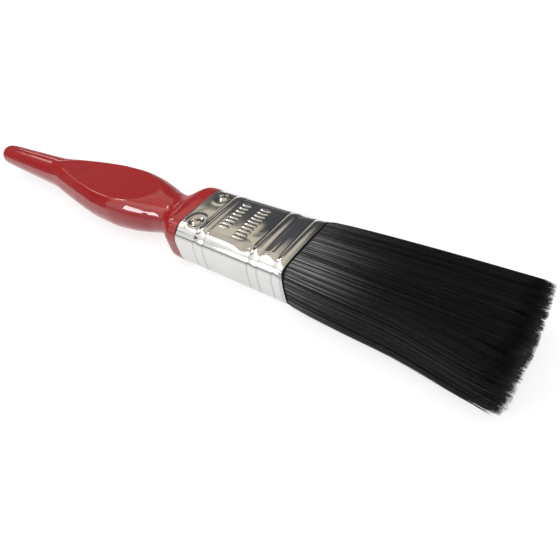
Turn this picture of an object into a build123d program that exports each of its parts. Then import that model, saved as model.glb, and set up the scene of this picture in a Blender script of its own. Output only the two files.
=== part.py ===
"""Flat paint brush, 25 mm wide, as the separate pieces it is made from.

A turned and flattened wooden handle carries a beaded stainless ferrule on its
tenon, held by two nails through each broad face. Two banks of bristle, spread
by a filler strip, are set in resin inside the ferrule. Their free length bends
where it leaves the ferrule.

The brush lies on a broad face. X runs along it to the bristle tips, Y across
its width and Z up. The origin is on the surface it lies on, under the middle
of its length. Distances called "out" are measured along X from the ferrule's
mouth, so they are negative towards the handle.
"""

import os
from math import copysign, cos, pi, radians, sin

from build123d import *

# Ferrule (mm)
brush_width = 25.0
ferrule_thickness = 15.3
ferrule_length = 40.0
ferrule_corner = 5.4
sheet = 0.5
bead_height = 0.4
bead_edge_round = 0.38
bead_spans = [(-32.2, -28.0), (-11.6, -8.2), (-3.3, -0.6)]

# Raised ornament on the upper face, in rows: out, middle across, length, count, pitch
ornament_rows = [(-25.4, 0.8, 3.4, 8, 1.5), (-18.5, 0.0, 3.8, 10, 1.4)]
ornament_width = 0.8
ornament_height = 0.15

# Nails, two in each broad face
nail_out = -35.0
nail_spacing = 12.2
nail_head_diameter = 3.2
nail_head_height = 0.6
nail_head_round = 0.42
nail_shank_diameter = 1.2
nail_hole_depth = 5.5
nail_point_gap = 0.3
dimple_diameter = 4.4
dimple_depth = 0.25

# Handle
tail_end_out = -168.4
tail_radius = 4.35
tail_root_out = -124.0
tail_root_radius = 5.95
dome_angles = (12, 30, 50, 70, 90)
flat_half_thickness = 6.45
flat_ends_out = (-123.0, -51.7)
tenon_length = 18.0
tenon_clearance = 0.05
tenon_chamfer = 0.8
ring_points_count = 24

# Each section of belly, neck and collar: out, half width, half thickness, squareness
belly_sections = [
    (tail_root_out, tail_root_radius, tail_root_radius, 2.0),
    (-119.0, 6.45, 6.35, 2.0),
    (-112.0, 7.75, 7.10, 2.0),
    (-104.0, 9.15, 7.85, 2.0),
    (-95.0, 10.60, 8.55, 2.0),
    (-86.0, 11.60, 9.00, 2.0),
    (-77.0, 11.80, 9.15, 2.0),
    (-69.0, 10.95, 8.65, 2.0),
    (-62.0, 9.40, 7.65, 2.0),
    (-56.0, 7.85, 6.60, 2.0),
    (-52.0, 7.55, 6.25, 2.1),
    (-49.0, 8.70, 6.50, 2.4),
    (-46.5, 10.80, 7.05, 3.0),
    (-44.5, 12.15, 7.50, 3.6),
    (-43.0, 12.45, 7.62, 3.9),
    (-ferrule_length, 12.45, 7.62, 3.9),
]

# Inside the ferrule
resin_depth = 5.0
filler_width = 21.0
filler_thickness = 3.2
filler_corner = 0.6
filler_chamfer = 0.5
filler_front_out = -3.0
root_clearance = 0.05

# Free bristle
bristle_length = 55.6
bend_range_gap = 0.4
root_round = 7.3
tip_arc_sag = 1.2
tip_parting = 0.24
parting_closes_out = 36.0
bristle_sections = [(0.0, 12.1, 7.0, 4.8), (28.0, 13.4, 7.5, 4.2), (57.0, 14.6, 7.2, 3.6)]

# Places worked out from the sizes above
mouth_x = (-tail_end_out + bristle_length) / 2 - bristle_length
axis_z = ferrule_thickness / 2 + bead_height
inner_width = brush_width - 2 * sheet
inner_thickness = ferrule_thickness - 2 * sheet
inner_corner = ferrule_corner - sheet
top_z = axis_z + ferrule_thickness / 2
nail_shank_length = nail_hole_depth - dimple_depth - nail_point_gap
resin_back_out = -ferrule_length + tenon_length + root_clearance
resin_front_out = resin_back_out + resin_depth
bend_out = bend_range_gap + root_round
big = 60.0


def across(out):
    """The plane across the brush at a distance out from the mouth, centred on its axis."""
    return Plane((mouth_x + out, 0, axis_z), x_dir=(0, 1, 0), z_dir=(1, 0, 0))


def lengthwise():
    """The upright plane along the brush: local x is out, local y is height over the axis."""
    return Plane((mouth_x, 0, axis_z), x_dir=(1, 0, 0), z_dir=(0, -1, 0))


def ring_points(half_width, half_thickness, squareness):
    """Points round a closed section: an ellipse at squareness 2, nearer a rectangle above."""
    points = []
    for step in range(ring_points_count):
        angle = 2 * pi * step / ring_points_count
        y = copysign(abs(cos(angle)) ** (2 / squareness), cos(angle)) * half_width
        z = copysign(abs(sin(angle)) ** (2 / squareness), sin(angle)) * half_thickness
        points.append((y, z))
    return points


def tail_sections():
    """The round tail: a domed end, then a straight taper down to the belly."""
    sections = []
    for angle in dome_angles:
        out = tail_end_out + tail_radius * (1 - cos(radians(angle)))
        radius = tail_radius * sin(radians(angle))
        sections.append((out, radius, radius, 2.0))
    middle = (sections[-1][0] + tail_root_out) / 2
    middle_radius = (tail_radius + tail_root_radius) / 2
    return sections + [(middle, middle_radius, middle_radius, 2.0)]


def face_signs():
    """The upper and the lower broad face."""
    return (1, -1)


def nail_places():
    """Each nail's name, side across the brush and broad face."""
    places = []
    for face, height in zip(("upper", "lower"), face_signs()):
        for side, offset in (("left", nail_spacing / 2), ("right", -nail_spacing / 2)):
            places.append((f"nail_{face}_{side}", offset, height))
    return places


def nail_axis(offset, height, lift=0.0):
    """A plane on a broad face at a nail, with its normal out of the face."""
    z = axis_z + height * (ferrule_thickness / 2 + lift)
    return Plane((mouth_x + nail_out, offset, z), x_dir=(1, 0, 0), z_dir=(0, 0, height))


# ---------------------------------------------------------------- handle
with BuildPart() as handle:
    # One skin from the tail's domed end to the collar that meets the ferrule
    for out, half_width, half_thickness, squareness in tail_sections() + belly_sections:
        with BuildSketch(across(out)):
            with BuildLine():
                Spline(*ring_points(half_width, half_thickness, squareness), periodic=True)
            make_face()
    loft()

    # The two flats of the plank that the handle was cut from
    for side in face_signs():
        with BuildSketch(lengthwise()):
            with Locations((sum(flat_ends_out) / 2, side * (flat_half_thickness + big / 2))):
                Rectangle(flat_ends_out[1] - flat_ends_out[0], big)
        extrude(amount=big / 2, both=True, mode=Mode.SUBTRACT)

    # The tenon inside the ferrule
    with BuildSketch(across(-ferrule_length)):
        RectangleRounded(
            inner_width - 2 * tenon_clearance,
            inner_thickness - 2 * tenon_clearance,
            inner_corner - tenon_clearance,
        )
    extrude(amount=tenon_length)
    chamfer(handle.faces().sort_by(Axis.X)[-1].edges(), tenon_chamfer)

    # The nails' holes
    for _, offset, height in nail_places():
        with BuildSketch(nail_axis(offset, height)):
            Circle(nail_shank_diameter / 2)
        extrude(amount=-nail_hole_depth, mode=Mode.SUBTRACT)

handle.part.label = "handle"

# ---------------------------------------------------------------- ferrule
with BuildPart() as ferrule:
    with BuildSketch(across(-ferrule_length)):
        RectangleRounded(brush_width, ferrule_thickness, ferrule_corner)
    extrude(amount=ferrule_length)

    # Raised beads round the band, each a slab with rounded edges
    for start, end in bead_spans:
        with BuildPart(mode=Mode.PRIVATE) as bead:
            with BuildSketch(across(start)):
                RectangleRounded(
                    brush_width + 2 * bead_height,
                    ferrule_thickness + 2 * bead_height,
                    ferrule_corner + bead_height,
                )
            extrude(amount=end - start)
            ends = bead.faces().filter_by(Axis.X)
            fillet(ends.edges(), bead_edge_round)
        add(bead.part)

    # Lozenge ornament on the upper face
    for out, middle, length, count, pitch in ornament_rows:
        with BuildSketch(Plane.XY.offset(top_z)):
            with Locations((mouth_x + out, middle)):
                with GridLocations(0, pitch, 1, count):
                    SlotOverall(length, ornament_width)
        extrude(amount=ornament_height)

    # Dimples and holes for the nails
    for _, offset, height in nail_places():
        with BuildSketch(nail_axis(offset, height)):
            Circle(dimple_diameter / 2)
        extrude(amount=-dimple_depth, taper=45, mode=Mode.SUBTRACT)
        with BuildSketch(nail_axis(offset, height)):
            Circle(nail_shank_diameter / 2)
        extrude(amount=-nail_hole_depth, mode=Mode.SUBTRACT)

    # The hollow of the band
    with BuildSketch(across(-ferrule_length)):
        RectangleRounded(inner_width, inner_thickness, inner_corner)
    extrude(amount=ferrule_length, mode=Mode.SUBTRACT)

ferrule.part.label = "ferrule"


# ---------------------------------------------------------------- nails
def make_nail(name, offset, height):
    """A panel pin: a domed head seated in its dimple, and a shank into the tenon."""
    with BuildPart() as nail:
        with BuildSketch(nail_axis(offset, height, -dimple_depth)):
            Circle(nail_head_diameter / 2)
        extrude(amount=nail_head_height)
        crown = nail.faces().sort_by(Axis.Z)[-1 if height > 0 else 0]
        fillet(crown.edges(), nail_head_round)
        with BuildSketch(nail_axis(offset, height, -dimple_depth)):
            Circle(nail_shank_diameter / 2)
        extrude(amount=-nail_shank_length)
    nail.part.label = name
    return nail.part


nails = [make_nail(*place) for place in nail_places()]

# ---------------------------------------------------------------- resin setting
with BuildPart() as resin_setting:
    with BuildSketch(across(resin_back_out)):
        RectangleRounded(
            inner_width - 2 * root_clearance,
            inner_thickness - 2 * root_clearance,
            inner_corner - root_clearance,
        )
    extrude(amount=resin_depth)

resin_setting.part.label = "resin_setting"

# ---------------------------------------------------------------- filler strip
with BuildPart() as filler_strip:
    with BuildSketch(across(resin_front_out)):
        RectangleRounded(filler_width, filler_thickness, filler_corner)
    extrude(amount=filler_front_out - resin_front_out)
    chamfer(filler_strip.faces().sort_by(Axis.X)[-1].edges(), filler_chamfer)

filler_strip.part.label = "filler_strip"


# ---------------------------------------------------------------- bristle
def make_roots(name, side):
    """The set length of one bank: the ferrule's hollow, less the filler strip."""
    with BuildPart() as roots:
        with BuildSketch(across(resin_front_out)):
            RectangleRounded(
                inner_width - 2 * root_clearance,
                inner_thickness - 2 * root_clearance,
                inner_corner - root_clearance,
            )
        extrude(amount=-resin_front_out)
        with BuildSketch(across(resin_front_out)):
            Rectangle(brush_width, filler_thickness + 2 * root_clearance)
        extrude(amount=-resin_front_out, mode=Mode.SUBTRACT)
        keep = Keep.TOP if side > 0 else Keep.BOTTOM
        split(bisect_by=Plane.XY.offset(axis_z), keep=keep)
    roots.part.label = name
    return roots.part


def make_bank(name, side):
    """The free length of one bank, rounded at its root so that it can bend."""
    with BuildPart() as bank:
        for out, half_width, half_thickness, corner in bristle_sections:
            with BuildSketch(across(out)):
                RectangleRounded(2 * half_width, 2 * half_thickness, corner)
        loft()

        # Ends: a slightly bowed tip edge and a half-round root about the bend
        half = bristle_sections[-1][1] + 1
        with BuildSketch(Plane.XY):
            with BuildLine():
                Polyline(
                    (mouth_x + bristle_length - tip_arc_sag, half),
                    (mouth_x, half),
                    (mouth_x, -half),
                    (mouth_x + bristle_length - tip_arc_sag, -half),
                )
                ThreePointArc(
                    (mouth_x + bristle_length - tip_arc_sag, -half),
                    (mouth_x + bristle_length, 0),
                    (mouth_x + bristle_length - tip_arc_sag, half),
                )
            make_face()
        extrude(amount=big, mode=Mode.INTERSECT)
        with BuildSketch(lengthwise()):
            with Locations((bend_out / 2, 0)):
                Rectangle(bend_out, 4 * root_round)
            with Locations((bend_out, 0)):
                Circle(root_round, mode=Mode.SUBTRACT)
        extrude(amount=big / 2, both=True, mode=Mode.SUBTRACT)

        # The parting between the banks, widest at the filler strip
        with BuildSketch(lengthwise()):
            with BuildLine():
                Polyline(
                    (0, filler_thickness / 2),
                    (parting_closes_out, tip_parting / 2),
                    (bristle_length + 1, tip_parting / 2),
                    (bristle_length + 1, -tip_parting / 2),
                    (parting_closes_out, -tip_parting / 2),
                    (0, -filler_thickness / 2),
                    close=True,
                )
            make_face()
        extrude(amount=big / 2, both=True, mode=Mode.SUBTRACT)
        keep = Keep.TOP if side > 0 else Keep.BOTTOM
        split(bisect_by=Plane.XY.offset(axis_z), keep=keep)
    bank.part.label = name
    return bank.part


bristle = []
for face, side in zip(("upper", "lower"), face_signs()):
    bristle.append(make_roots(f"bristle_roots_{face}", side))
    bristle.append(make_bank(f"bristle_bank_{face}", side))

# ---------------------------------------------------------------- files
os.makedirs("parts", exist_ok=True)
export_step(handle.part, "parts/handle.step")
export_step(ferrule.part, "parts/ferrule.step")
export_step(resin_setting.part, "parts/resin_setting.step")
export_step(filler_strip.part, "parts/filler_strip.step")
for piece in nails + bristle:
    export_step(piece, f"parts/{piece.label}.step")
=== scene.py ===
"""Looks for the flat paint brush: a red lacquered handle, a mirror-bright ferrule and black bristle.

Shapes are worked out in "brush" millimetres: out along X from the ferrule's mouth, across along
Y and up along Z from the brush's axis. to_frame() turns them into metres in the row frame.
"""

import math

import bpy
import numpy as np
from mathutils import Matrix, Vector


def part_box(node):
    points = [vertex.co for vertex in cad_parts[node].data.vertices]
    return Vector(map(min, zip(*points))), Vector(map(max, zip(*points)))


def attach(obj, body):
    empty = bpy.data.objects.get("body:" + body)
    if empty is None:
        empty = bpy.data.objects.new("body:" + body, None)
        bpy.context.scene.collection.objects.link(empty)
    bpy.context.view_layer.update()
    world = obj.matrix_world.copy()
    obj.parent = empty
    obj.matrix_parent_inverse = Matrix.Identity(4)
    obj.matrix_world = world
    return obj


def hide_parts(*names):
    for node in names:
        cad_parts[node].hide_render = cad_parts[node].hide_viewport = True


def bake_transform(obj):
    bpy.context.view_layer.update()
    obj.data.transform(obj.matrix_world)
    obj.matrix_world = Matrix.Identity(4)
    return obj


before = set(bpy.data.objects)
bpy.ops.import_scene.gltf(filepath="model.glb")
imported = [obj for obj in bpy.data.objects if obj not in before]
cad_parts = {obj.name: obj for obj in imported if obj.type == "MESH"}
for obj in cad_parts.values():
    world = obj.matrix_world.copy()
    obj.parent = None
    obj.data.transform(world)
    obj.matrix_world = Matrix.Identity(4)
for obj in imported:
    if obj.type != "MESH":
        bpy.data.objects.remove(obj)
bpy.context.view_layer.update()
MM = 0.001

FERRULE_LOW, FERRULE_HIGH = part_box("ferrule")
HANDLE_LOW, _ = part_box("handle")
_, BRISTLE_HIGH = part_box("bristle_bank_upper")
MOUTH = Vector((FERRULE_HIGH.x, 0.0, (FERRULE_LOW.z + FERRULE_HIGH.z) / 2))

# Sizes in mm, as the CAD model has them
TAIL_END = (HANDLE_LOW.x - MOUTH.x) / MM
TIP_END = (BRISTLE_HIGH.x - MOUTH.x) / MM
FERRULE_LENGTH = (FERRULE_HIGH.x - FERRULE_LOW.x) / MM
HALF_WIDTH, HALF_THICKNESS, CORNER = 12.5, 7.65, 5.4
SHEET = 0.5
TAIL_RADIUS = 4.35
FLAT_UP = 6.45
NAIL_OUT, NAIL_ACROSS, NAIL_DIMPLE = -35.0, 6.1, 0.30
BEADS = [(-32.0, -28.4), (-11.6, -8.4), (-3.3, -0.6)]

random = np.random.default_rng(251)


# ---------------------------------------------------------------- helpers
def to_frame(points):
    """Brush millimetres to metres in the row frame."""
    points = np.asarray(points, float)
    return points * MM + np.array(MOUTH)


def smooth_step(x, low, high):
    """0 below low, 1 above high, and smooth between them."""
    t = np.clip((np.asarray(x, float) - low) / (high - low), 0.0, 1.0)
    return t * t * (3 - 2 * t)


def curve_through(stations, column, x):
    """A smooth curve through one column of a list of stations, with no overshoot."""
    table = np.array(stations, float)
    xs, ys = table[:, 0], table[:, column]
    slopes = np.diff(ys) / np.diff(xs)
    tangents = np.zeros(len(xs))
    tangents[0], tangents[-1] = slopes[0], slopes[-1]
    same_way = slopes[:-1] * slopes[1:] > 0
    safe_sum = np.where(same_way, slopes[:-1] + slopes[1:], 1.0)
    tangents[1:-1] = np.where(same_way, 2 * slopes[:-1] * slopes[1:] / safe_sum, 0.0)
    x = np.clip(x, xs[0], xs[-1])
    i = np.clip(np.searchsorted(xs, x) - 1, 0, len(xs) - 2)
    span = xs[i + 1] - xs[i]
    t = (x - xs[i]) / span
    return (
        (1 + 2 * t) * (1 - t) ** 2 * ys[i]
        + t * (1 - t) ** 2 * span * tangents[i]
        + t * t * (3 - 2 * t) * ys[i + 1]
        + t * t * (t - 1) * span * tangents[i + 1]
    )


def mesh_object(name, vertices, faces, smooth=True):
    """A mesh object from points in the row frame."""
    mesh = bpy.data.meshes.new(name)
    mesh.from_pydata([tuple(v) for v in vertices], [], [tuple(f) for f in faces])
    mesh.validate()
    mesh.update()
    if smooth:
        mesh.polygons.foreach_set("use_smooth", np.ones(len(mesh.polygons), bool))
    piece = bpy.data.objects.new(name, mesh)
    bpy.context.scene.collection.objects.link(piece)
    return piece


def skin_faces(ring_count, point_count):
    """Quads between rings, and a fan of one polygon to close each end."""
    faces = []
    for i in range(ring_count - 1):
        for j in range(point_count):
            k = (j + 1) % point_count
            a, b = i * point_count, (i + 1) * point_count
            faces.append((a + j, a + k, b + k, b + j))
    last = (ring_count - 1) * point_count
    faces.append(tuple(reversed(range(point_count))))
    faces.append(tuple(range(last, last + point_count)))
    return faces


def skinned(name, rings):
    """A closed skin over rings, an array of rings by points by three, in brush millimetres."""
    rings = np.asarray(rings, float)
    vertices = to_frame(rings.reshape(-1, 3))
    return mesh_object(name, vertices, skin_faces(rings.shape[0], rings.shape[1]))


def add_attribute(piece, name, values):
    """A number on each point, for the materials to read."""
    attribute = piece.data.attributes.new(name, "FLOAT", "POINT")
    attribute.data.foreach_set("value", np.asarray(values, np.float32))


def rounded_outline(half_width, half_thickness, corner, step_flat, step_round):
    """Points and normals round a rounded rectangle, evenly spaced on each stretch."""
    points, normals = [], []
    flat_y, flat_z = half_width - corner, half_thickness - corner
    corners = [(flat_y, flat_z, 0), (-flat_y, flat_z, 90), (-flat_y, -flat_z, 180), (flat_y, -flat_z, 270)]
    for index, (y, z, start) in enumerate(corners):
        turns = max(4, round(corner * math.pi / 2 / step_round))
        for k in range(turns):
            angle = math.radians(start + 90 * k / turns)
            points.append((y + corner * math.cos(angle), z + corner * math.sin(angle)))
            normals.append((math.cos(angle), math.sin(angle)))
        angle = math.radians(start + 90)
        here = np.array((y + corner * math.cos(angle), z + corner * math.sin(angle)))
        there_y, there_z, _ = corners[(index + 1) % 4]
        there = np.array((there_y + corner * math.cos(angle), there_z + corner * math.sin(angle)))
        count = max(1, round(np.linalg.norm(there - here) / step_flat))
        for k in range(count):
            points.append(tuple(here + (there - here) * k / count))
            normals.append((math.cos(angle), math.sin(angle)))
    return np.array(points), np.array(normals)


# ---------------------------------------------------------------- materials
class Nodes:
    """A material's node tree, with short ways to add to it."""

    def __init__(self, name):
        self.material = bpy.data.materials.new(name)
        self.material.use_nodes = True
        self.tree = self.material.node_tree
        self.shader = self.tree.nodes["Principled BSDF"]
        self.place = self.add("ShaderNodeTexCoord").outputs["Object"]

    def add(self, kind, **settings):
        node = self.tree.nodes.new(kind)
        for key, value in settings.items():
            setattr(node, key, value)
        return node

    def link(self, source, target):
        self.tree.links.new(source, target)

    def noise(self, scale, detail=3.0, stretch=(1, 1, 1), roughness=0.5):
        """Noise in object space, scale in repeats per metre, stretched along the axes."""
        mapping = self.add("ShaderNodeMapping")
        mapping.inputs["Scale"].default_value = stretch
        self.link(self.place, mapping.inputs["Vector"])
        node = self.add("ShaderNodeTexNoise")
        node.inputs["Scale"].default_value = scale
        node.inputs["Detail"].default_value = detail
        node.inputs["Roughness"].default_value = roughness
        self.link(mapping.outputs["Vector"], node.inputs["Vector"])
        return node.outputs["Fac"]

    def ramp(self, source, stops):
        """A colour ramp: stops are (position, (r, g, b))."""
        node = self.add("ShaderNodeValToRGB")
        elements = node.color_ramp.elements
        while len(elements) < len(stops):
            elements.new(0.5)
        for element, (position, colour) in zip(elements, stops):
            element.position = position
            element.color = (*colour, 1.0)
        self.link(source, node.inputs["Fac"])
        return node.outputs["Color"]

    def spread(self, source, low, high, to_low, to_high):
        """A number mapped from one range to another."""
        node = self.add("ShaderNodeMapRange")
        for key, value in (("From Min", low), ("From Max", high), ("To Min", to_low), ("To Max", to_high)):
            node.inputs[key].default_value = value
        self.link(source, node.inputs["Value"])
        return node.outputs["Result"]

    def mix(self, factor, a, b):
        """Two colours mixed; a and b are sockets or colours."""
        node = self.add("ShaderNodeMix", data_type="RGBA")
        self.fill(node.inputs[0], factor)
        self.fill(node.inputs[6], a)
        self.fill(node.inputs[7], b)
        return node.outputs[2]

    def fill(self, socket, value):
        """A link, a colour or a number on a socket."""
        if isinstance(value, bpy.types.NodeSocket):
            self.link(value, socket)
        elif isinstance(value, tuple):
            socket.default_value = (*value, 1.0)
        else:
            socket.default_value = value

    def attribute(self, name):
        return self.add("ShaderNodeAttribute", attribute_name=name).outputs["Fac"]

    def bump(self, source, distance, strength=1.0, under=None):
        """A bumped normal, distance in metres, on top of another one if given."""
        node = self.add("ShaderNodeBump")
        node.inputs["Distance"].default_value = distance
        node.inputs["Strength"].default_value = strength
        self.link(source, node.inputs["Height"])
        if under is not None:
            self.link(under, node.inputs["Normal"])
        return node.outputs["Normal"]

    def set(self, **values):
        """Settings of the main shader, with underscores for the spaces in their names."""
        for key, value in values.items():
            self.fill(self.shader.inputs[key.replace("_", " ")], value)


def red_lacquer():
    """Deep red gloss lacquer over wood: faint grain, orange peel, dust specks, handling marks, and painted
    shade on surfaces facing sideways or down.
    """
    m = Nodes("red_lacquer")
    grain = m.noise(700, 4, (0.05, 1, 1))
    cloud = m.noise(60, 2)
    base = m.ramp(grain, [(0.30, (0.365, 0.0100, 0.0120)), (0.70, (0.405, 0.0120, 0.0145))])
    base = m.mix(m.spread(cloud, 0.35, 0.7, 0.0, 0.30), base, (0.32, 0.008, 0.011))
    specks = m.spread(m.noise(2600, 1), 0.74, 0.80, 0.0, 0.35)
    base = m.mix(specks, base, (0.22, 0.008, 0.010))
    peel = m.noise(330, 2)
    handled = m.noise(190, 4)
    upward = m.add("ShaderNodeSeparateXYZ")
    m.link(m.add("ShaderNodeNewGeometry").outputs["Normal"], upward.inputs[0])
    # Painted shade: the base colour darkens where the surface faces sideways or down
    base = m.mix(m.spread(upward.outputs["Z"], 0.30, 0.95, 0.60, 0.0), base, (0.19, 0.006, 0.008))
    # The clear coat's gloss is thinner where the far shoulder is seen at a slant
    slant = m.add("ShaderNodeLayerWeight")
    slant.inputs["Blend"].default_value = 0.5
    rim = m.add("ShaderNodeMath", operation="MULTIPLY")
    m.link(m.spread(slant.outputs["Facing"], 0.52, 0.86, 0.0, 1.0), rim.inputs[0])
    m.link(m.spread(upward.outputs["Z"], -0.2, 0.25, 0.0, 1.0), rim.inputs[1])
    m.set(Base_Color=base, IOR=1.45, Specular_IOR_Level=0.08, Coat_IOR=1.5, Coat_Roughness=0.02)
    m.set(Coat_Weight=m.spread(rim.outputs[0], 0.0, 1.0, 1.0, 0.12))
    m.set(Roughness=m.spread(handled, 0.35, 0.75, 0.38, 0.50))
    m.set(Normal=m.bump(grain, 0.00001, 0.4))
    m.link(m.bump(peel, 0.00003, 0.35), m.shader.inputs["Coat Normal"])
    return m.material


def bright_stainless():
    """Rolled stainless strip: a mirror with fine rolling lines, soft dents, finger smears, darker fine
    grooves and painted shade towards its lower face.
    """
    m = Nodes("bright_stainless")
    rolling = m.noise(5200, 3, (1, 0.03, 0.03))
    smear = m.noise(130, 3, (1, 0.6, 0.6))
    dents = m.noise(170, 2)
    scratches = m.noise(2100, 2, (0.06, 1, 1))
    metal = m.ramp(smear, [(0.3, (0.63, 0.62, 0.60)), (0.7, (0.70, 0.695, 0.685))])
    # The groove attribute darkens the metal in the fine grooves beside the beads, and adds painted shade
    # towards the band's lower face
    groove_and_low_shade = m.attribute("groove")
    m.set(Base_Color=m.mix(m.spread(groove_and_low_shade, 0.0, 1.0, 0.0, 0.5), metal, (0.30, 0.30, 0.31)))
    m.set(Metallic=1.0, Roughness=m.spread(smear, 0.3, 0.75, 0.05, 0.12))
    fine = m.bump(rolling, 0.0000005, 0.3)
    fine = m.bump(scratches, 0.000001, 0.5, fine)
    m.set(Normal=m.bump(dents, 0.00006, 0.5, fine))
    return m.material


def bright_nail():
    """A bright drawn nail with a hammer-marked head."""
    m = Nodes("bright_nail")
    marks = m.noise(900, 2)
    m.set(Base_Color=m.ramp(marks, [(0.35, (0.66, 0.60, 0.54)), (0.7, (0.80, 0.77, 0.73))]))
    m.set(Metallic=1.0, Roughness=m.spread(marks, 0.3, 0.7, 0.08, 0.2))
    m.set(Normal=m.bump(marks, 0.0002, 0.7))
    return m.material


def black_bristle():
    """Black bristle with a painted sheen that lightens it near the mouth, and brown where the tips are
    flagged.
    """
    m = Nodes("black_bristle")
    along = m.attribute("along")
    tone = m.attribute("tone")
    body = m.ramp(tone, [(0.0, (0.0035, 0.0035, 0.0035)), (1.0, (0.0110, 0.0108, 0.0106))])
    flag = m.ramp(tone, [
        (0.0, (0.004, 0.003, 0.003)),
        (0.7, (0.016, 0.011, 0.008)),
        (1.0, (0.11, 0.068, 0.042)),
    ])
    streaks = m.noise(2400, 2, (0.03, 1, 1))
    painted_sheen = m.ramp(tone, [
        (0.0, (0.010, 0.010, 0.011)),
        (0.45, (0.075, 0.075, 0.078)),
        (1.0, (0.46, 0.46, 0.47)),
    ])
    # Painted sheen: the filaments' colour is lightened towards grey near the mouth
    body = m.mix(m.attribute("painted_sheen"), body, painted_sheen)
    base = m.mix(m.spread(along, 0.982, 1.0, 0.0, 1.0), body, flag)
    # Out to half a millimetre from the mouth the filaments stand in the lip's shade
    shaded = m.spread(m.attribute("out"), 0.5, 0.8, 1.0, 0.0)
    base = m.mix(shaded, base, (0.0015, 0.0015, 0.0015))
    m.set(Base_Color=base, IOR=1.55, Specular_IOR_Level=0.26)
    m.set(Roughness=m.mix(shaded, m.spread(streaks, 0.3, 0.7, 0.30, 0.45), (0.95, 0.95, 0.95)))
    m.set(Normal=m.bump(streaks, 0.00002, 0.5))
    return m.material


def pack_core():
    """The dark inside of the bristle pack, streaked along the filaments."""
    m = Nodes("pack_core")
    streaks = m.noise(3800, 3, (0.02, 1, 1))
    m.set(Base_Color=m.ramp(streaks, [(0.35, (0.002, 0.002, 0.002)), (0.75, (0.011, 0.010, 0.0095))]))
    m.set(Roughness=m.spread(streaks, 0.3, 0.7, 0.55, 0.8), Specular_IOR_Level=0.25)
    m.set(Normal=m.bump(streaks, 0.0002, 0.8))
    return m.material


def hidden_material(name, low, high, stretch=(1, 1, 1), roughness=(0.4, 0.7)):
    """Resin, softwood and the set bristle roots, which only an opened brush shows."""
    m = Nodes(name)
    figure = m.noise(700, 4, stretch)
    m.set(Base_Color=m.ramp(figure, [(0.3, low), (0.7, high)]))
    m.set(Roughness=m.spread(figure, 0.3, 0.7, *roughness), Normal=m.bump(figure, 0.0001, 0.5))
    return m.material


def pale_floor():
    """A matt white table top, lit a little from within as a light table is."""
    m = Nodes("pale_floor")
    cloud = m.noise(14, 2)
    m.set(Base_Color=m.ramp(cloud, [(0.3, (0.34, 0.34, 0.34)), (0.7, (0.37, 0.37, 0.368))]))
    m.set(Roughness=0.65, Specular_IOR_Level=0.1)
    m.set(Emission_Color=(1.0, 1.0, 1.0), Emission_Strength=0.74)
    m.set(Normal=m.bump(m.noise(900, 2), 0.00005, 0.3))
    return m.material


# ---------------------------------------------------------------- camera, lights and floor
def make_camera():
    """A close camera above the brush's near side, looking back towards the handle."""
    from_mouth = Vector((60.57, -68.65, 84.44)) * MM
    right = Vector((0.78688, 0.58942, -0.18276))
    up = Vector((-0.31867, 0.64172, 0.69760))
    back = right.cross(up)
    data = bpy.data.cameras.new("camera")
    data.sensor_width = 36.0
    data.lens = 29.8
    data.clip_start = 0.01
    camera = bpy.data.objects.new("camera", data)
    turn = Matrix((right, up, back)).transposed().to_4x4()
    camera.matrix_world = Matrix.Translation(MOUTH + from_mouth) @ turn
    bpy.context.scene.collection.objects.link(camera)
    bpy.context.scene.camera = camera


def direction(azimuth, elevation):
    """A unit vector towards a place in the studio, in degrees."""
    a, e = math.radians(azimuth), math.radians(elevation)
    return Vector((math.cos(e) * math.cos(a), math.cos(e) * math.sin(a), math.sin(e)))


def softbox(name, azimuth, elevation, distance, size, power, colour=(1, 1, 1), aim_out=-30.0):
    """A rectangular soft light, aimed at a place along the brush."""
    data = bpy.data.lights.new(name, "AREA")
    data.shape = "RECTANGLE"
    data.size, data.size_y = size
    data.energy = power
    data.color = colour
    lamp = bpy.data.objects.new(name, data)
    target = MOUTH + Vector((aim_out * MM, 0, 0))
    lamp.location = target + direction(azimuth, elevation) * distance
    lamp.rotation_euler = (target - lamp.location).to_track_quat("-Z", "Y").to_euler()
    bpy.context.scene.collection.objects.link(lamp)


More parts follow.
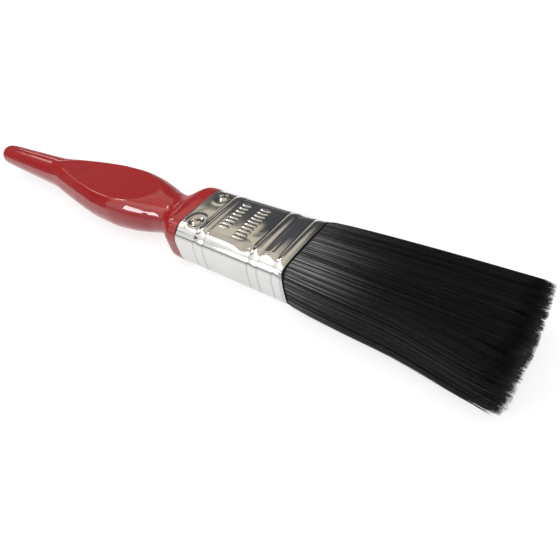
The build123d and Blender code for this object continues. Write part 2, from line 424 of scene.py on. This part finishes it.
class Sky:
    """Light by direction, for gloss to mirror: a base by elevation with soft-edged patches over it.

    Azimuths are in degrees from the handle's end of the brush, positive towards its near side.
    """

    def __init__(self, tree):
        self.tree = tree
        axes = tree.nodes.new("ShaderNodeSeparateXYZ")
        tree.links.new(tree.nodes.new("ShaderNodeTexCoord").outputs["Generated"], axes.inputs[0])
        x, y = self.math("MULTIPLY", axes.outputs["X"], -1.0), self.math("MULTIPLY", axes.outputs["Y"], -1.0)
        self.azimuth = self.math("DEGREES", self.math("ARCTAN2", y, x))
        self.elevation = self.math("DEGREES", self.math("ARCSINE", axes.outputs["Z"]))
        self.colour = None

    def math(self, operation, *values):
        node = self.tree.nodes.new("ShaderNodeMath")
        node.operation = operation
        for socket, value in zip(node.inputs, values):
            if isinstance(value, (int, float)):
                socket.default_value = value
            else:
                self.tree.links.new(value, socket)
        return node.outputs[0]

    def edge(self, source, start, soft, rising=True):
        """0 to 1 across a soft edge that is centred on start."""
        node = self.tree.nodes.new("ShaderNodeMapRange")
        node.interpolation_type = "SMOOTHSTEP"
        node.inputs["From Min"].default_value = start - soft
        node.inputs["From Max"].default_value = start + soft
        node.inputs["To Min"].default_value = 0.0 if rising else 1.0
        node.inputs["To Max"].default_value = 1.0 if rising else 0.0
        self.tree.links.new(source, node.inputs["Value"])
        return node.outputs["Result"]

    def base(self, stops):
        """The light at each elevation, as (degrees, colour)."""
        node = self.tree.nodes.new("ShaderNodeValToRGB")
        elements = node.color_ramp.elements
        while len(elements) < len(stops):
            elements.new(0.5)
        for element, (degrees, colour) in zip(elements, stops):
            element.position = degrees / 90
            element.color = (*colour, 1.0)
        self.tree.links.new(self.math("DIVIDE", self.elevation, 90.0), node.inputs["Fac"])
        self.colour = node.outputs["Color"]

    def patch(self, azimuths, elevations, colour, soft=2.0, slant=0.0):
        """A patch of light or dark. With slant, its azimuths drift by that much per degree up."""
        azimuth = self.azimuth
        if slant:
            drift = self.math("MULTIPLY", self.math("SUBTRACT", self.elevation, elevations[0]), slant)
            azimuth = self.math("SUBTRACT", azimuth, drift)
        mask = self.edge(azimuth, azimuths[0], soft)
        mask = self.math("MULTIPLY", mask, self.edge(azimuth, azimuths[1], soft, rising=False))
        mask = self.math("MULTIPLY", mask, self.edge(self.elevation, elevations[0], soft))
        mask = self.math("MULTIPLY", mask, self.edge(self.elevation, elevations[1], soft, rising=False))
        node = self.tree.nodes.new("ShaderNodeMix")
        node.data_type = "RGBA"
        node.inputs[7].default_value = (*colour, 1.0)
        self.tree.links.new(mask, node.inputs[0])
        self.tree.links.new(self.colour, node.inputs[6])
        self.colour = node.outputs[2]


def make_world():
    """Even white light on matt surfaces, and a studio's light and dark areas for gloss to mirror."""
    world = bpy.data.worlds.new("studio")
    bpy.context.scene.world = world
    world.use_nodes = True
    world.cycles.sampling_method = "NONE"
    tree = world.node_tree
    tree.nodes.clear()
    sky = Sky(tree)
    white, khaki = (0.95, 0.95, 0.95), (0.80, 0.74, 0.61)
    dark, brown = (0.085, 0.09, 0.10), (0.70, 0.64, 0.58)
    low, middle = (0.22, 0.21, 0.20), (0.30, 0.29, 0.27)
    sky.base([(0, white), (8, white), (17, low), (40, middle), (60, khaki), (90, khaki)])
    sky.patch((-150, -36), (19, 52), dark, soft=3.0)
    sky.patch((-60, -35), (28, 44), dark, soft=1.2, slant=-1.0)
    sky.patch((-34, -16), (31, 42), khaki, soft=1.5, slant=-1.0)
    sky.patch((-29, 7), (39, 57), brown, soft=1.5)
    sky.patch((-29, 38), (-5, 13), (0.10, 0.10, 0.10), soft=2.0)
    sky.patch((-40, 10), (22, 31), (0.13, 0.13, 0.13), soft=2.0)
    sky.patch((-40, 10), (12, 22), (0.05, 0.05, 0.05), soft=2.0)
    sky.patch((-27, -20), (11.0, 14.0), (3.5, 3.5, 3.5), soft=0.8)
    sky.patch((-150, -42), (-5, 14), (0.12, 0.12, 0.12), soft=2.5)
    sky.patch((-10, 10), (29.5, 36), (2.8, 2.7, 2.6), soft=1.5)
    sky.patch((12, 38), (12, 32), (0.05, 0.05, 0.05), soft=1.5)
    sky.patch((-11.5, -5.5), (21.7, 35), (2.2, 2.1, 2.0), soft=1.0, slant=1.15)
    sky.patch((-42, -29), (-5, 13), (0.55, 0.51, 0.43), soft=2.0)
    sky.patch((-4, 56), (40.5, 60), (1.9, 1.86, 1.82), soft=2.0, slant=1.3)
    sky.patch((60, 110), (27, 60), (0.10, 0.10, 0.11), soft=2.0)
    sky.patch((20, 62), (31, 43), (1.2, 1.19, 1.17), soft=3.0)
    sky.patch((35, 62), (13, 36), (1.0, 0.99, 0.97), soft=3.0)
    sky.patch((62, 100), (1, 26), (0.75, 0.75, 0.77), soft=1.5)
    sky.patch((36, 64), (9.0, 12.5), (0.12, 0.12, 0.14), soft=1.0)
    mirrored = tree.nodes.new("ShaderNodeBackground")
    tree.links.new(sky.colour, mirrored.inputs["Color"])
    even = tree.nodes.new("ShaderNodeBackground")
    even.inputs["Color"].default_value = (1.0, 1.0, 1.0, 1.0)
    path = tree.nodes.new("ShaderNodeLightPath")
    overhead = sky.math("MULTIPLY", sky.edge(sky.elevation, 42, 24), 0.98)
    diffuse = sky.math("ADD", overhead, 0.34)
    even_light = sky.math("MAXIMUM", diffuse, sky.math("MULTIPLY", path.outputs["Is Camera Ray"], 1.1))
    tree.links.new(even_light, even.inputs["Strength"])
    plain = sky.math("MAXIMUM", path.outputs["Is Diffuse Ray"], path.outputs["Is Camera Ray"])
    choose = tree.nodes.new("ShaderNodeMixShader")
    tree.links.new(plain, choose.inputs["Fac"])
    tree.links.new(mirrored.outputs[0], choose.inputs[1])
    tree.links.new(even.outputs[0], choose.inputs[2])
    output = tree.nodes.new("ShaderNodeOutputWorld")
    tree.links.new(choose.outputs[0], output.inputs["Surface"])


def make_studio():
    """The world, two small softboxes and a pale floor."""
    make_world()
    softbox("window", -122.5, 28.6, 0.60, (0.155, 0.13), 0.95, (0.93, 0.96, 1.0), -60)
    softbox("overhead", 172, 41, 0.80, (0.10, 0.05), 0.24, (1.0, 0.98, 0.95), -60)
    reach = 6.0
    corners = [(-reach, -reach, 0), (reach, -reach, 0), (reach, reach, 0), (-reach, reach, 0)]
    floor = mesh_object("floor", corners, [(0, 1, 2, 3)], smooth=False)
    floor.data.materials.append(pale_floor())
    bpy.context.scene.view_settings.view_transform = "Standard"


# ---------------------------------------------------------------- handle
def handle_stations():
    """Out, half width and half thickness of the tail, belly, neck and collar."""
    dome_centre = TAIL_END + TAIL_RADIUS
    dome = []
    for angle in (6, 14, 24, 36, 50, 64, 78, 90):
        turn = math.radians(angle)
        radius = TAIL_RADIUS * math.sin(turn)
        dome.append((dome_centre - TAIL_RADIUS * math.cos(turn), radius, radius))
    belly = [
        (-144.0, 5.15, 5.15),
        (-124.0, 5.95, 5.95),
        (-119.0, 6.45, 6.35),
        (-112.0, 7.75, 7.10),
        (-104.0, 9.15, 7.85),
        (-95.0, 10.60, 8.55),
        (-86.0, 11.60, 9.00),
        (-77.0, 11.80, 9.15),
        (-69.0, 10.95, 8.65),
        (-62.0, 9.40, 7.65),
        (-56.0, 7.85, 6.60),
        (-52.0, 7.50, 6.25),
        (-49.0, 8.70, 6.60),
        (-46.5, 10.90, 7.25),
        (-44.5, 12.15, 7.58),
        (-43.0, 12.42, 7.62),
        (-FERRULE_LENGTH, 12.42, 7.62),
    ]
    return dome + belly


def polar_ellipse(angle, half_width, half_thickness):
    """The radius of an ellipse in a direction."""
    return 1 / np.sqrt((np.cos(angle) / half_width) ** 2 + (np.sin(angle) / half_thickness) ** 2)


def polar_rounded(angle, half_width, half_thickness, corner):
    """The radius of a rounded rectangle in a direction."""
    c, s = np.abs(np.cos(angle)), np.abs(np.sin(angle))
    side = half_width / np.maximum(c, 1e-9)
    top = half_thickness / np.maximum(s, 1e-9)
    y, z = half_width - corner, half_thickness - corner
    along = c * y + s * z
    arc = along + np.sqrt(np.maximum(along**2 - (y * y + z * z - corner**2), 0.0))
    return np.where(side * s <= z, side, np.where(top * c <= y, top, arc))


def handle_ring(out, angle, stations):
    """One section of the handle: an ellipse that squares up towards the collar, cut by the flats."""
    half_width = curve_through(stations, 1, out)
    half_thickness = curve_through(stations, 2, out)
    squareness = smooth_step(out, -52.5, -44.0)
    corner = min(CORNER, 0.98 * half_thickness)
    radius = (1 - squareness) * polar_ellipse(angle, half_width, half_thickness)
    radius += squareness * polar_rounded(angle, half_width, half_thickness, corner)
    y, z = radius * np.cos(angle), radius * np.sin(angle)
    if out < -50:
        softness = 0.10 + 0.45 * float(smooth_step(out, -70, -56))
        z = np.sign(z) * soft_floor_cap(np.abs(z), FLAT_UP, softness)
    return np.stack([np.full_like(y, out), y, z], axis=1)


def soft_floor_cap(height, limit, softness):
    """A height, never over a limit, with the corner rounded to a softness."""
    return height - softness * np.logaddexp(0.0, (height - limit) / softness)


def make_handle():
    """The turned handle, with its tenon inside the ferrule."""
    stations = handle_stations()
    outs = [TAIL_END + TAIL_RADIUS * (1 - math.cos(math.radians(a))) for a in np.linspace(4, 88, 18)]
    outs += list(np.linspace(TAIL_END + TAIL_RADIUS, -54, 330))
    outs += list(np.linspace(-53.6, -FERRULE_LENGTH, 64))
    angle = np.linspace(0, 2 * math.pi, 225)[:-1]
    rings = [handle_ring(out, angle, stations) for out in outs]
    for out, inset in ((-FERRULE_LENGTH, SHEET + 0.05), (-22.8, SHEET + 0.05), (-22.0, SHEET + 0.85)):
        radius = polar_rounded(angle, HALF_WIDTH - inset, HALF_THICKNESS - inset, CORNER - SHEET)
        rings.append(np.stack([np.full_like(angle, out), radius * np.cos(angle), radius * np.sin(angle)], 1))
    handle = skinned("handle_lacquered", rings)
    handle.data.materials.append(red_lacquer())
    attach(handle, "handle_and_ferrule")
    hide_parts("handle")


# ---------------------------------------------------------------- ferrule
# Rows of raised lozenges: out, middle across, count, pitch, half length
ORNAMENT = [(-25.4, 0.8, 8, 1.5, 1.75), (-18.5, 0.0, 10, 1.4, 1.95)]
# Soft dents in the panel, as thin pressed sheet has: out, across, reach along, reach across, height
DENTS = [
    (-15.2, -2.5, 2.3, 4.5, -0.10),
    (-14.4, -8.3, 2.2, 1.7, -0.28),
    (-36.8, -5.5, 2.2, 3.4, 0.08),
    (-22.3, -5.0, 2.6, 2.8, 0.05),
    (-5.6, 1.5, 1.8, 6.0, -0.05),
]


def bead_profile(out):
    """The rounded beads along the band's length, from 0 to 1, and the fine groove beside each."""
    bead, groove = 0.0, 0.0
    for start, end in BEADS:
        t = min(max((out - start) / (end - start), 0.0), 1.0)
        bead += math.sin(math.pi * t) ** 1.5
        for edge in (start - 0.1, end + 0.1):
            groove += math.exp(-(((out - edge) / 0.32) ** 2))
    return bead, groove


def bead_height(out, y, normal_up):
    """Beads stand proud across the broad faces, end short of the corners, and lightly wrap them."""
    bead, groove = bead_profile(out)
    across = smooth_step(10.2 - np.abs(y), 0.0, 3.2) * smooth_step(np.abs(normal_up), 0.4, 0.95)
    height = bead * (0.06 + 0.26 * across) - groove * 0.03 * (0.5 + across)
    between = min(max((out - BEADS[1][1]) / (BEADS[2][0] - BEADS[1][1]), 0.0), 1.0)
    height += math.sin(math.pi * between) ** 2 * 0.30 * across * smooth_step(-y, -24.0, 2.0)
    height -= 0.25 * float(smooth_step(out, -0.55, 0.0)) ** 2
    height -= 0.10 * float(smooth_step(-out, FERRULE_LENGTH - 0.5, FERRULE_LENGTH))
    return height


def pressed_detail(out, y, normal_up):
    """Nail dimples on both broad faces, and rows of lozenges and soft dents on the upper one."""
    detail = np.zeros_like(y)
    on_face = smooth_step(np.abs(normal_up), 0.6, 0.95)
    for side in (1, -1):
        distance = np.hypot(out - NAIL_OUT, y - side * NAIL_ACROSS)
        detail -= NAIL_DIMPLE * np.exp(-((distance / 2.0) ** 4)) * on_face
        detail += 0.05 * np.exp(-(((distance - 2.8) / 0.8) ** 2)) * on_face
    upper = smooth_step(normal_up, 0.6, 0.95)
    for row_out, middle, count, pitch, half_length in ORNAMENT:
        for k in range(count):
            centre = middle + (k - (count - 1) / 2) * pitch
            reach = (np.abs(out - row_out) / half_length) ** 2 + (np.abs(y - centre) / (0.38 * pitch)) ** 2
            detail += 0.17 * smooth_step(1.25 - reach, 0.0, 0.9) * upper
    for dent_out, across, along_reach, across_reach, height in DENTS:
        away = ((out - dent_out) / along_reach) ** 2 + ((y - across) / across_reach) ** 2
        detail += height * np.exp(-away) * upper
    return detail


def make_ferrule():
    """The stainless band: beads, dimples and ornament pressed into it, and its inside wall."""
    outs = np.concatenate([
        np.linspace(-FERRULE_LENGTH, -38.2, 12),
        np.linspace(-38.0, -15.6, 112),
        np.linspace(-15.3, -12.0, 12),
        np.linspace(-11.9, 0.0, 72),
    ])
    points, normals = rounded_outline(HALF_WIDTH, HALF_THICKNESS, CORNER, 0.15, 0.24)
    crown = 0.30
    rings, groove_and_low_shade_values = [], []
    for out in outs:
        y, z = points[:, 0], points[:, 1]
        # Darkening for the fine grooves, plus painted shade that grows towards the lower face
        groove_and_low_shade_values.append(bead_profile(out)[1] + 0.5 * smooth_step(-z, -1.0, 6.0))
        lift = bead_height(out, y, normals[:, 1]) + pressed_detail(out, y, normals[:, 1])
        lower = crown * (np.abs(y) / HALF_WIDTH) ** 2 - crown * 0.15
        ring = np.stack([
            np.full_like(y, out),
            y + normals[:, 0] * lift,
            z + normals[:, 1] * lift - np.sign(z) * lower * smooth_step(np.abs(z), 0.0, HALF_THICKNESS),
        ], 1)
        rings.append(ring)
    inner = points - normals * SHEET
    for out in (-0.02, -6.0, -FERRULE_LENGTH + 0.02):
        rings.append(np.column_stack([np.full(len(inner), out), inner]))
        groove_and_low_shade_values.append(np.zeros(len(inner)))
    rings = np.array(rings)
    count, around = rings.shape[0], rings.shape[1]
    faces = skin_faces(count, around)[:-2]
    last = (count - 1) * around
    for j in range(around):
        k = (j + 1) % around
        faces.append((last + j, last + k, k, j))
    ferrule = mesh_object("ferrule_band", to_frame(rings.reshape(-1, 3)), faces)
    add_attribute(ferrule, "groove", np.concatenate(groove_and_low_shade_values))
    ferrule.data.materials.append(bright_stainless())
    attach(ferrule, "handle_and_ferrule")
    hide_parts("ferrule")


def make_nails():
    """Four domed nail heads seated in their dimples, each with its shank."""
    material = bright_nail()
    dome = [(0.15, 0.62), (0.55, 0.58), (0.95, 0.49), (1.30, 0.34), (1.58, 0.12)]
    rim = [(1.66, -0.08), (1.60, -0.26)]
    shank = [(0.6, -0.27), (0.6, -4.9), (0.2, -5.1)]
    for face, up in (("upper", 1), ("lower", -1)):
        for side, across in (("left", NAIL_ACROSS), ("right", -NAIL_ACROSS)):
            seat = HALF_THICKNESS - NAIL_DIMPLE
            rings = []
            for radius, height in dome + rim + shank:
                ring = []
                for k in range(40):
                    a = 2 * math.pi * k / 40 * up
                    wobble = 1 + 0.03 * math.sin(3 * a + across)
                    x = NAIL_OUT + radius * wobble * math.cos(a)
                    y = across + radius * wobble * math.sin(a)
                    ring.append((x, y, up * (seat + height)))
                rings.append(ring)
            nail = skinned(f"nail_{face}_{side}_bright", rings[::-1])
            nail.data.materials.append(material)
            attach(nail, "handle_and_ferrule")
            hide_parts(f"nail_{face}_{side}")


# ---------------------------------------------------------------- bristle
# The bristle pack: out, half width, half thickness
PACK = [
    (-6.0, 11.55, 6.75),
    (0.0, 11.80, 7.00),
    (2.0, 12.35, 7.55),
    (12.0, 12.85, 7.65),
    (28.0, 13.40, 7.60),
    (56.0, 14.25, 7.30),
]
FILAMENT_SIDES = 3
# How far back from the tips the filaments gather into tufts, a tuft's size, and how far they gather
GATHER_LENGTH, TUFT_SPACING, TUFT_GATHER = 11, 1.9, 0.36
RAGGEDNESS = 0.6
INNER_LENGTH = 16.0


def pack_size(out):
    """Half width and half thickness of the bristle pack at a distance from the mouth."""
    return curve_through(PACK, 1, out), curve_through(PACK, 2, out)


def section_point(across, up, out, corner=4.4):
    """A place in the pack's section, where across and up run from -1 to 1 in a unit square."""
    half_width, half_thickness = pack_size(out)
    y, z = across * half_width, up * half_thickness
    over_y = np.maximum(np.abs(y) - (half_width - corner), 0)
    over_z = np.maximum(np.abs(z) - (half_thickness - corner), 0)
    reach = np.hypot(over_y, over_z)
    shrink = np.where(reach > 1e-9, np.maximum(over_y, over_z) / np.maximum(reach, 1e-9), 1.0)
    y = np.sign(y) * (np.abs(y) - over_y + over_y * shrink)
    z = np.sign(z) * (np.abs(z) - over_z + over_z * shrink)
    return y, z


def near_side_splay(y, out):
    """The near corner of the pack fans out towards its tips."""
    return -2.7 * smooth_step(-y, 7.0, 14.0) * smooth_step(out, 26.0, 56.0)


def make_filaments(name, across, up, starts, ends, radius, segments, spread, bow):
    """Many fine tapered filaments in one mesh, each with its own tip, tone and slight curve."""
    count = len(across)
    t = np.linspace(0, 1, segments + 1)
    out = starts[:, None] + (ends - starts)[:, None] * t[None, :]
    y, z = section_point(across[:, None], up[:, None], out)
    share = np.clip(out / TIP_END, 0, 1.1)
    gather = np.clip((out - (TIP_END - GATHER_LENGTH)) / GATHER_LENGTH, 0, 1) ** 2.2
    y = y + spread[:, 0:1] * gather + bow[:, 0:1] * np.sin(math.pi * share)
    z = z + spread[:, 1:2] * gather + bow[:, 1:2] * np.sin(math.pi * share)
    y = y + near_side_splay(y, out)
    thickness = radius[:, None] * (1 - 0.25 * t[None, :]) * (1 - 0.75 * smooth_step(t, 0.97, 1.0)[None, :])
    turn = random.uniform(0, 2 * math.pi, count)
    vertices = np.zeros((count, segments + 1, FILAMENT_SIDES, 3))
    for k in range(FILAMENT_SIDES):
        a = turn + 2 * math.pi * k / FILAMENT_SIDES
        vertices[:, :, k, 0] = out
        vertices[:, :, k, 1] = y + thickness * np.cos(a)[:, None]
        vertices[:, :, k, 2] = z + thickness * np.sin(a)[:, None]
    per = (segments + 1) * FILAMENT_SIDES
    one = []
    for i in range(segments):
        for k in range(FILAMENT_SIDES):
            n = (k + 1) % FILAMENT_SIDES
            a, b = i * FILAMENT_SIDES, (i + 1) * FILAMENT_SIDES
            one.append((a + k, b + k, b + n, a + n))
    quads = (np.array(one)[None] + (np.arange(count) * per)[:, None, None]).reshape(-1, 4)
    ends_faces = np.array([(0, 1, 2), (per - 1, per - 2, per - 3)])
    caps = (ends_faces[None] + (np.arange(count) * per)[:, None, None]).reshape(-1, 3)
    faces = [tuple(q) for q in quads] + [tuple(c) for c in caps]
    piece = mesh_object(name, to_frame(vertices.reshape(-1, 3)), faces)
    along = np.repeat(np.clip(1 - (ends[:, None] - out) / TIP_END, 0, 1).reshape(-1), FILAMENT_SIDES)
    tone = np.repeat(random.uniform(0, 1, count) ** 1.6, per)
    # Painted sheen: how much each filament's colour is lightened, strongest on the top's near side by the
    # mouth and fading towards the tips
    painted_sheen_facing = np.where(up > 0.85, 2.0 - 1.65 * smooth_step(across, -0.5, 0.7), 0.85)
    painted_sheen_fade = np.where(up > 0.85, 0.46, 0.40) * TIP_END
    painted_sheen = np.clip(1 - out / painted_sheen_fade[:, None], 0, 1) ** 1.8 * smooth_step(out, 1.0, 1.4) * painted_sheen_facing[:, None]
    add_attribute(piece, "along", along)
    add_attribute(piece, "out", np.repeat(out.reshape(-1), FILAMENT_SIDES))
    add_attribute(piece, "painted_sheen", np.repeat(painted_sheen.reshape(-1), FILAMENT_SIDES))
    add_attribute(piece, "tone", tone)
    return piece


def tuft_pull(across, up, spacing):
    """The way from each filament to the middle of its tuft, in mm, and how long that tuft is."""
    size = np.array(pack_size(TIP_END))
    place = np.stack([across, up], 1) * size
    count = int(4 * size[0] * size[1] / spacing**2)
    centres = random.uniform(-1, 1, (count, 2)) * size
    nearest = np.hypot(*(place[:, None] - centres[None]).transpose(2, 0, 1)).argmin(1)
    lengths = random.normal(0, 1, count)[nearest]
    return centres[nearest] - place, lengths


def tip_ends(across, up, tuft_lengths, raggedness):
    """Where each filament ends: a bowed edge, tufts of uneven length, and a few stragglers."""
    bowed = TIP_END - 0.1 - 0.55 * (across + 0.35) ** 2 - 0.25 * up**2
    bowed -= 1.8 * smooth_step(np.abs(across), 0.9, 1.05) * smooth_step(np.abs(up), 0.3, 0.9)
    lower = smooth_step(-up, 0.0, 0.85)
    bowed -= 1.1 * smooth_step(-across, -0.1, 0.5) * (1 - smooth_step(-across, 0.75, 0.95)) * lower
    bowed -= 1.5 * smooth_step(-across, 0.75, 1.0) * lower
    gap = smooth_step(across, 0.85, 0.90) * smooth_step(up, 0.72, 0.78) * (1 - smooth_step(up, 0.88, 0.90))
    strays = smooth_step(-across, 0.93, 0.97) * (random.uniform(0, 1, len(across)) < 0.35)
    ragged = 0.30 * tuft_lengths + raggedness * random.normal(0, 1, len(across))
    return bowed - 2.6 * gap - strays * random.uniform(1.0, 5.0, len(across)) + np.clip(ragged, -2.6, 0.9)


def make_bristle():
    """Outer filaments that are seen along their length, inner ones seen at the tips, and a core."""
    material = black_bristle()

    # Outer filaments lie in a few layers under each face of the pack
    wide, tall, layers = 230, 95, 4
    across, up = [], []
    for layer in range(layers):
        inset = 1 - 0.035 * layer
        row = (np.arange(wide) + 0.5 * (layer % 2) + random.uniform(-0.3, 0.3, wide)) / wide * 2 - 1
        column = (np.arange(tall) + random.uniform(-0.3, 0.3, tall)) / tall * 2 - 1
        for sign in (1, -1):
            across += [row * inset, np.full(tall, sign * inset)]
            up += [np.full(wide, sign * inset), column * inset]
    across, up = np.concatenate(across), np.concatenate(up)
    pull, lengths = tuft_pull(across, up, TUFT_SPACING)
    count = len(across)
    spread = pull * TUFT_GATHER + random.normal(0, 0.12, (count, 2))
    outer = make_filaments(
        "bristle_outer", across, up, np.full(count, -3.0), tip_ends(across, up, lengths, RAGGEDNESS),
        random.uniform(0.055, 0.085, count), 12, spread, random.normal(0, 0.12, (count, 2)),
    )
    outer.data.materials.append(material)

    # Inner filaments show only near their tips
    count = 4200
    across, up = random.uniform(-0.97, 0.97, count), random.uniform(-0.95, 0.95, count)
    pull, lengths = tuft_pull(across, up, TUFT_SPACING)
    spread = pull * TUFT_GATHER + random.normal(0, 0.12, (count, 2))
    inner = make_filaments(
        "bristle_inner", across, up, np.full(count, TIP_END - INNER_LENGTH),
        tip_ends(across, up, lengths, RAGGEDNESS),
        random.uniform(0.07, 0.10, count), 4, spread, np.zeros((count, 2)),
    )
    inner.data.materials.append(material)

    core = make_core()
    for piece in (outer, inner, core):
        if piece is inner:
            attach(piece, "bristle")
        else:
            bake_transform(piece)
    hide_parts("bristle_bank_upper", "bristle_bank_lower")


def make_core():
    """A solid dark body a little inside the filaments, so that no light shows through them."""
    angle = np.linspace(0, 2 * math.pi, 129)[:-1]
    rings = []
    for out in np.linspace(-3.0, TIP_END - 4.2, 60):
        half_width, half_thickness = pack_size(out)
        close = 1 - 0.18 * float(smooth_step(out, TIP_END - 9, TIP_END - 4.2))
        radius = polar_rounded(angle, (half_width - 0.5) * close, (half_thickness - 0.5) * close, 4.0)
        y, z = radius * np.cos(angle), radius * np.sin(angle)
        y = y + near_side_splay(y, out) * 0.8
        rings.append(np.stack([np.full_like(y, out), y, z], 1))
    core = skinned("bristle_core", rings)
    core.data.materials.append(pack_core())
    return core


# ---------------------------------------------------------------- pieces that stay as CAD
def finish_hidden_nodes():
    """Resin, filler strip and the set roots keep their CAD shape and get real materials."""
    resin = hidden_material("amber_resin", (0.16, 0.075, 0.02), (0.30, 0.16, 0.05), roughness=(0.1, 0.3))
    softwood = hidden_material("softwood", (0.48, 0.33, 0.19), (0.66, 0.50, 0.32), (0.06, 1, 1))
    roots = hidden_material("set_roots", (0.003, 0.003, 0.003), (0.03, 0.026, 0.022), (0.02, 1, 1))
    wanted = {
        "resin_setting": resin,
        "filler_strip": softwood,
        "bristle_roots_upper": roots,
        "bristle_roots_lower": roots,
    }
    for node, material in wanted.items():
        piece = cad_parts[node]
        piece.data.materials.clear()
        piece.data.materials.append(material)


make_camera()
make_studio()
make_handle()
make_ferrule()
make_nails()
make_bristle()
finish_hidden_nodes()
